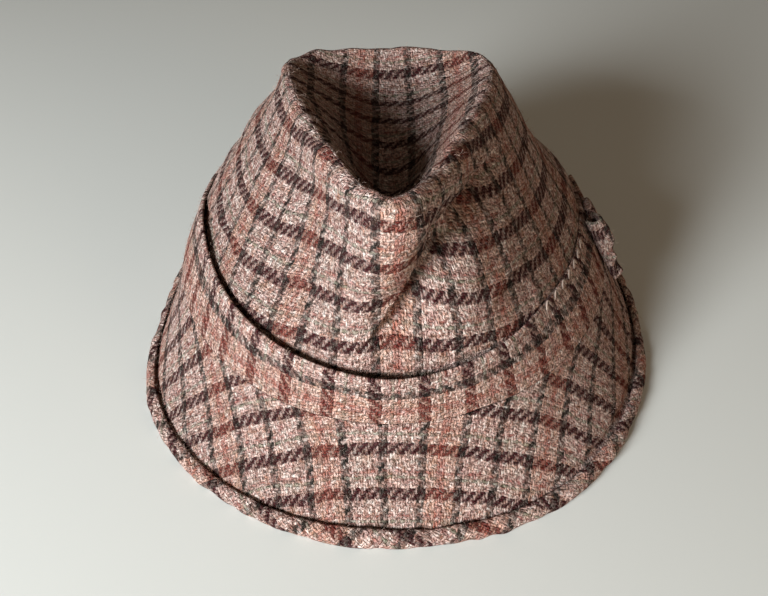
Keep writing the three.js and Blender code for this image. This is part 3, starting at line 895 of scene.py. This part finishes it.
def band_point(turn, rise, out):
    turn, rise = np.broadcast_arrays(turn, rise)
    top = crown_point(turn, CREST.start, False)
    climb = rise * band_height(turn) / (top[..., 2] - HEADLINE_Z)
    off = BAND.clear + band_stand(turn) * rise * rise + out
    return crown_point(turn, climb * CREST.start, False) + oval_outward(turn) * off[..., None]


print(f"the band is {band_height(turns).min():.1f} to {band_height(turns).max():.1f} mm high")

# %% The band's mesh
band_rise, band_depth = cloth_section(BAND.flat_height, BAND_ROWS, BAND_BACK_ROWS, BAND.cloth,
                                      *BAND_CORNERS)
band_rise = lerp(BAND_FOOT, 1.0, band_rise)
turn_deg = np.degrees(turns)
wave = lumps(band_point(turns, band_rise, BAND.cloth), *BAND_LUMPS) + BAND_LOOSE
pucker = bell(turn_deg - PUCKER.turn, PUCKER.spread) * (1 - band_rise) ** 3
band_out = BAND.cloth - band_depth + np.maximum(wave, 0) * ease(band_rise, 0, 0.5)
band_out = band_out + PUCKER.out * pucker
band_out = band_out + band_gape(turns) * ease(band_rise, GAPE_FROM, 1.0)
tacked = ease(turn_deg, *TACK.start) * (1 - ease(turn_deg, *TACK.end))
band_out = band_out * (1 - TACK.thinner * tacked * ease(band_rise, TACK.rise, 1.0))
band_rows = band_point(turns, band_rise, band_out) + UP * (PUCKER.lift * pucker)[..., None]
band_along = summed(step_lengths(band_point(turns[0], 0.5, 0.0)))
band_along = band_along - band_along[len(band_along) // 2]
band_cloth = flat_pattern(BAND.flat_height * (1 - band_rise), band_along[None], BAND_AT)
swept_piece("hat_band", "band_tweed", band_rows, band_cloth)
woolly_sheets.append(band_rows[CORNER_STEPS // 2:BAND_ROWS + 2 * CORNER_STEPS - 2])

# %% [markdown]
# ## The bow
# The bow is a loop in front of a knot and a notched tail behind it, all flat on the band at the
# wearer's left. It could be made flat and bent to the head by hand. Here a place on it is
# measured along the band, out from it and up its slope, so it lies close all the way.

# %% Places on the bow
BOW = Named(turn=math.radians(88.5), cloth=1.6, corner=0.5)
LOOP = Named(length=16.0, height=26.0, lift=-2.2, depth=6.0, knot_height=0.7, knot_depth=0.6)
KNOT = Named(half_length=4.0, half_height=10.5, depth=4.2, squareness=0.55)
TAIL = Named(length=20.0, height=20.0, knot_height=0.7, notch=6.0)
BOW_AT = Named(loop=(30.0, 20.0), tail=(10.0, 9.0), knot=(26.0, 5.0))


def bow_point(along, out, up):
    along, out, up = np.broadcast_arrays(along, out, up)
    reach = math.hypot(HALF_WIDTH * math.cos(BOW.turn), HALF_LENGTH * math.sin(BOW.turn))
    turn = BOW.turn + along / reach

    def face(t, rise):
        return band_point(t, rise, np.full(np.shape(t), BAND.cloth))

    middle = np.full(turn.shape, 0.5)
    slope = unit(face(turn, 0 * middle + 1) - face(turn, 0 * middle))
    stand_off = SEAM_GAP + out
    return face(turn, middle) + slope * up[..., None] + square_to(face, turn, middle) * stand_off[..., None]


print("middle of the bow, on the band:", np.round(bow_point(np.zeros(1), 0.0, 0.0)[0], 1).tolist())

# %% The bow's loop
LOOP_SIDES, LOOP_ROWS, LOOP_BACK_ROWS = 120, 26, 10
LOOP_FOOT, LOOP_TOP = 1.05, 1.4  # how full the cloth is beside its solid
LOOP_LUMPS = Named(grain=4.2, seed=11, along=1.3, out=1.4)
loop_up, loop_depth = cloth_section(LOOP.height, LOOP_ROWS, LOOP_BACK_ROWS, BOW.cloth,
                                    BOW.corner, BOW.corner)
loop_angle = np.linspace(0, FULL_TURN, LOOP_SIDES + 1)[None]
loop_place = ease((1 + np.cos(loop_angle)) / 2, 0, 1)
loop_full = lerp(LOOP.knot_depth, 1, loop_place)
loop_height = lerp(LOOP.knot_height, 1, loop_place) * LOOP.height
half_loop = LOOP.length / 2
half_depth = LOOP.depth / 2 * lerp(LOOP_FOOT, LOOP_TOP, ease(loop_up, 0, 0.8))
loop_along = KNOT.half_length + SEAM_GAP + half_loop + (half_loop - loop_depth) * np.cos(loop_angle)
loop_out = loop_full * (half_depth + (half_depth - loop_depth) * np.sin(loop_angle))
loop_sag = LOOP.lift + (loop_up - 0.5) * loop_height
loop_lump = unevenness(bow_point(-loop_along, loop_out, loop_sag), LOOP_LUMPS.grain, LOOP_LUMPS.seed)
loop_lump = loop_place * (1 + np.sin(loop_angle)) * loop_lump
loop_rows = bow_point(-loop_along - LOOP_LUMPS.along * loop_lump,
                      loop_out + LOOP_LUMPS.out * loop_lump, loop_sag)
swept_piece("bow_loop", "bow_tweed", loop_rows,
            flat_pattern(loop_angle * half_loop, loop_up * LOOP.height, BOW_AT.loop))
woolly_sheets.append(loop_rows[:LOOP_ROWS])

# %% The bow's tail
TAIL_STEPS, TAIL_ROWS = 40, 24


def capped_piece(node, slot, rows, cloth):
    """A strip that doesn't close on itself: its section loop is swept along, and each end is a face."""
    count, steps = rows.shape[0], rows.shape[1]
    loops = []
    for r in range(count):
        after = (r + 1) % count
        loops += [[(r, k), (r, k + 1), (after, k + 1), (after, k)] for k in range(steps - 1)]
    loops.append([(r, 0) for r in range(count)])
    loops.append([(r, steps - 1) for r in range(count - 1, -1, -1)])
    faces = [[r * steps + k for r, k in loop] for loop in loops]
    new_piece(node, slot, rows.reshape(-1, 3), faces, [cloth[place] for loop in loops for place in loop])


tail_up, tail_depth = cloth_section(TAIL.height, TAIL_ROWS, TAIL_ROWS, BOW.cloth,
                                    BOW.corner, BOW.corner)
tail_place = np.linspace(0, 1, TAIL_STEPS)[None]
tail_height = lerp(TAIL.knot_height, 1, tail_place) * TAIL.height
tail_notch = TAIL.notch * (1 - np.abs(2 * tail_up - 1))
tail_along = KNOT.half_length + SEAM_GAP + tail_place * (TAIL.length - tail_notch)
tail_rows = bow_point(tail_along, BOW.cloth - tail_depth, (tail_up - 0.5) * tail_height)
capped_piece("bow_tail", "bow_tweed", tail_rows,
             flat_pattern(tail_along, tail_up * TAIL.height, BOW_AT.tail))

# %% The bow's knot
KNOT_SIDES, KNOT_ROWS = 72, 40


def squared(x):
    return np.sign(x) * np.abs(x) ** KNOT.squareness


knot_round = np.linspace(0, FULL_TURN, KNOT_SIDES + 1)[None]
knot_swing = np.linspace(math.pi / 2, -math.pi / 2, KNOT_ROWS)[:, None]
knot_along = KNOT.half_length * squared(np.cos(knot_swing) * np.cos(knot_round))
knot_out = KNOT.depth / 2 * (1 + squared(np.cos(knot_swing) * np.sin(knot_round)))
knot_up = KNOT.half_height * squared(np.sin(knot_swing))
knot_cloth = flat_pattern(knot_round * KNOT.half_length, knot_swing * KNOT.half_height, BOW_AT.knot)
swept_piece("bow_knot", "bow_tweed", bow_point(knot_along, knot_out, knot_up), knot_cloth,
            open_after=KNOT_ROWS - 1)

# %% [markdown]
# ## Stitches on the band
# In front of the bow the band's upper edge is caught down by hand, with a row of pale arches.
# A row of equal things along a path is a job for Geometry Nodes: the path is resampled at the
# stitch's spacing, one arch of thread lies on each point, and the tree realizes them.

# %% Short ways to grow a piece
PALE_WOOL, STITCH_WOOL = "ab9990", "94877f"
WOOL_SHINE = 0.1


def plain_material(name, colour, shine):
    material = bpy.data.materials.new(name)
    material.use_nodes = True
    shader = material.node_tree.nodes["Principled BSDF"]
    shader.inputs["Base Color"].default_value = linear(colour)
    shader.inputs["Roughness"].default_value = 0.9
    shader.inputs["Specular IOR Level"].default_value = shine
    return material


def start_tree(name, inputs):
    """A geometry tree with named number inputs, and its input sockets."""
    tree = bpy.data.node_groups.new(name, "GeometryNodeTree")
    tree.interface.new_socket("Geometry", in_out="INPUT", socket_type="NodeSocketGeometry")
    for title, kind in inputs.items():
        tree.interface.new_socket(title, in_out="INPUT", socket_type="NodeSocket" + kind)
    tree.interface.new_socket("Geometry", in_out="OUTPUT", socket_type="NodeSocketGeometry")
    return tree, put(tree, "NodeGroupInput").outputs


def round_thread(tree, curve, sides, radius):
    ring = put(tree, "GeometryNodeCurvePrimitiveCircle", {"Resolution": sides, "Radius": radius})
    return put(tree, "GeometryNodeCurveToMesh", {
        "Curve": curve, "Profile Curve": ring.outputs["Curve"], "Fill Caps": True}).outputs["Mesh"]


def end_tree(tree, instances, material):
    real = put(tree, "GeometryNodeRealizeInstances", {"Geometry": instances}).outputs["Geometry"]
    dressed = put(tree, "GeometryNodeSetMaterial", {"Geometry": real, "Material": material})
    put(tree, "NodeGroupOutput", {"Geometry": dressed.outputs["Geometry"]})
    return tree


def grown_piece(name, source, tree, values):
    """Runs a tree on a source mesh and keeps what it makes as a plain mesh."""
    grower = show(name + "_source", source)
    modifier = grower.modifiers.new("grow", "NODES")
    modifier.node_group = tree
    for item in tree.interface.items_tree:
        if item.in_out == "INPUT" and item.name in values:
            modifier[item.identifier] = values[item.name]
    bpy.context.view_layer.update()
    mesh = bpy.data.meshes.new_from_object(grower.evaluated_get(bpy.context.evaluated_depsgraph_get()))
    mesh.name = name
    bpy.data.objects.remove(grower)
    piece = show(name, mesh)
    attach(piece, "root")
    print(f"{name}: {sum(len(face.vertices) - 2 for face in mesh.polygons)} triangles")


# %% The stitches
STITCH = Named(spacing=7.3, half_width=1.9, rise=2.7, thread=0.34, lean=-22.0)
STITCH_TURNS, STITCH_RISE = (46.0, 71.0), 0.92
STITCH_OUT = 0.6 * BAND.cloth  # the band is thin where it is tacked
PATH_STEPS = 40


def stitch_tree():
    tree, given = start_tree("edge_stitches", {"Spacing": "Float", "Thread": "Float"})
    node = partial(put, tree)
    path = node("GeometryNodeMeshToCurve", {"Mesh": given["Geometry"]}).outputs["Curve"]
    even = node("GeometryNodeResampleCurve", {"Curve": path, "Length": given["Spacing"]}, mode="LENGTH")
    half, rise = STITCH.half_width * MM, STITCH.rise * MM
    arch = node("GeometryNodeCurveQuadraticBezier", {
        "Resolution": 8, "Start": (-half, 0, 0), "Middle": (0, 0, 2 * rise), "End": (half, 0, 0)})
    tangent = node("GeometryNodeInputTangent").outputs["Tangent"]
    along = node("FunctionNodeAlignRotationToVector", {"Vector": tangent}, axis="X")
    lean = node("FunctionNodeRotateRotation", {
        "Rotation": along.outputs["Rotation"],
        "Rotate By": (math.radians(STITCH.lean), 0, 0)}, rotation_space="LOCAL")
    placed = node("GeometryNodeInstanceOnPoints", {
        "Points": even.outputs["Curve"], "Rotation": lean.outputs["Rotation"],
        "Instance": round_thread(tree, arch.outputs["Curve"], 6, given["Thread"])})
    return end_tree(tree, placed.outputs["Instances"],
                    plain_material("thread_wool", STITCH_WOOL, WOOL_SHINE))


stitch_turns = np.radians(np.linspace(*STITCH_TURNS, PATH_STEPS))
stitch_path = band_point(stitch_turns, STITCH_RISE, np.full(stitch_turns.shape, STITCH_OUT))
path_edges = [(k, k + 1) for k in range(PATH_STEPS - 1)]
grown_piece("band_stitches", mesh_of("stitch_path", stitch_path, path_edges, []), stitch_tree(),
            {"Spacing": STITCH.spacing * MM, "Thread": STITCH.thread * MM})

# %% [markdown]
# ## Loose wool
# Tweed is hairy: short fibres stand out of the yarn and blur its outline. Hair particles would
# not be plain meshes, so Geometry Nodes scatter the fibres over the faces that show, with a fixed
# seed. Each is a thin closed tube, bent over, with its root in the cloth.

# %% The tree of the loose wool
FIBRE = Named(length=1.7, thread=0.035, density=75000.0, seed=5, stretch=(0.5, 1.3))
FIBRE_BEND = {"Start": (0, 0, -0.15), "Middle": (0.1, 0, 0.55), "End": (0.75, 0.15, 0.7)}  # in lengths
FIBRE_TURN = (0.6, 0.6, math.pi)  # the most that chance turns a fibre


def fuzz_tree():
    tree, given = start_tree("wool_fuzz", {"Density": "Float", "Length": "Float", "Thread": "Float",
                                           "Seed": "Int"})
    node = partial(put, tree)
    roots = node("GeometryNodeDistributePointsOnFaces", {
        "Mesh": given["Geometry"], "Density": given["Density"], "Seed": given["Seed"]})
    hair = node("GeometryNodeCurveQuadraticBezier", {"Resolution": 3, **FIBRE_BEND})
    size = node("ShaderNodeCombineXYZ", {axis: given["Length"] for axis in "XYZ"})
    sized = node("GeometryNodeTransform", {
        "Geometry": hair.outputs["Curve"], "Scale": size.outputs["Vector"]})
    spin = node("FunctionNodeRandomValue", {
        0: tuple(-most for most in FIBRE_TURN), 1: FIBRE_TURN, "Seed": given["Seed"]},
        data_type="FLOAT_VECTOR")
    turned = node("FunctionNodeRotateRotation", {
        "Rotation": roots.outputs["Rotation"], "Rotate By": spin.outputs[0]}, rotation_space="LOCAL")
    stretch = node("FunctionNodeRandomValue", {
        2: FIBRE.stretch[0], 3: FIBRE.stretch[1], "Seed": given["Seed"]}, data_type="FLOAT")
    placed = node("GeometryNodeInstanceOnPoints", {
        "Points": roots.outputs["Points"], "Rotation": turned.outputs["Rotation"],
        "Scale": stretch.outputs[1],
        "Instance": round_thread(tree, sized.outputs["Geometry"], 3, given["Thread"])})
    return end_tree(tree, placed.outputs["Instances"], plain_material("loose_wool", PALE_WOOL, WOOL_SHINE))


print(f"{FIBRE.density / 100 ** 2:.1f} fibres to a square centimetre")

# %% The loose wool


def sheets_mesh(name, sheets):
    """The faces that show, as one mesh to grow fibres on."""
    points, faces, first = [], [], 0
    for rows in sheets:
        count, columns = rows.shape[:2]
        r, k = np.meshgrid(np.arange(count - 1), np.arange(columns - 1), indexing="ij")
        corner = first + r * columns + k
        faces.append(spread_out(corner, corner + 1, corner + columns + 1, corner + columns).reshape(-1, 4))
        points.append(rows.reshape(-1, 3))
        first += count * columns
    return mesh_of(name, np.concatenate(points), [], np.concatenate(faces))


grown_piece("wool_fuzz", sheets_mesh("woolly_sheets", woolly_sheets), fuzz_tree(),
            {"Density": FIBRE.density, "Length": FIBRE.length * MM, "Thread": FIBRE.thread * MM,
             "Seed": FIBRE.seed})

# %% [markdown]
# ## Floor, light and camera
# The hat stands on a plain pale floor. A soft light stands in front of it, at the wearer's right,
# as a window would, a weak warm one fills the other side, and a pale sky lights the shade. The
# camera looks down from the front.

# %% Floor
FLOOR_HALF = 2.0
FLOOR_COLOUR, FLOOR_SHINE = "c8cfce", 0.5

floor_mesh = bpy.data.meshes.new("floor")
floor_corners = [(x * FLOOR_HALF, y * FLOOR_HALF, 0) for x, y in ((-1, -1), (1, -1), (1, 1), (-1, 1))]
floor_mesh.from_pydata(floor_corners, [], [(0, 1, 2, 3)])
floor_mesh.materials.append(plain_material("pale_floor", FLOOR_COLOUR, FLOOR_SHINE))
show("floor", floor_mesh)
print(f"floor {2 * FLOOR_HALF:.0f} m square")

# %% Light
WINDOW = {"at": (-0.77, -0.93, 0.45), "size": 0.45, "watts": 37.0, "colour": "fffdfb"}
FILL = {"at": (0.75, -0.95, 0.3), "size": 0.5, "watts": 4.5, "colour": "ffdcb8"}
SKY = {"colour": "eed2b6", "strength": 0.14}


def soft_light(name, at, size, watts, colour):
    lamp = bpy.data.lights.new(name, "AREA")
    lamp.size = size
    lamp.energy = watts
    lamp.color = linear(colour)[:3]
    light = show(name, lamp)
    light.location = at
    light.rotation_euler = (-light.location).to_track_quat("-Z", "Y").to_euler()


soft_light("window", **WINDOW)
soft_light("fill", **FILL)
world = bpy.data.worlds.new("sky")
world.use_nodes = True
world.node_tree.nodes["Background"].inputs["Color"].default_value = linear(SKY["colour"])
world.node_tree.nodes["Background"].inputs["Strength"].default_value = SKY["strength"]
bpy.context.scene.world = world
bpy.context.scene.view_settings.view_transform = "Standard"
print(f"window {WINDOW['watts']} W, fill {FILL['watts']} W, sky {SKY['strength']}")

# %% Camera
EYE_MM = np.array([-3.5, -288.5, 256.0])  # from the middle of the head oval
EYE_DOWN, EYE_LEFT = math.radians(41.0), math.radians(0.27)
PICTURE_WIDTH, FOCAL_PIXELS, SENSOR = 768, 820, 36.0

lens = bpy.data.cameras.new("camera")
lens.sensor_width = SENSOR
lens.lens = FOCAL_PIXELS / PICTURE_WIDTH * SENSOR
lens.clip_start = 0.01
camera = show("camera", lens)
camera.location = (EYE_MM + CENTRE) * MM
camera.rotation_euler = (math.pi / 2 - EYE_DOWN, 0, -EYE_LEFT)
bpy.context.scene.camera = camera
print(f"camera {camera.location.length:.2f} m away, lens {lens.lens:.1f} mm")
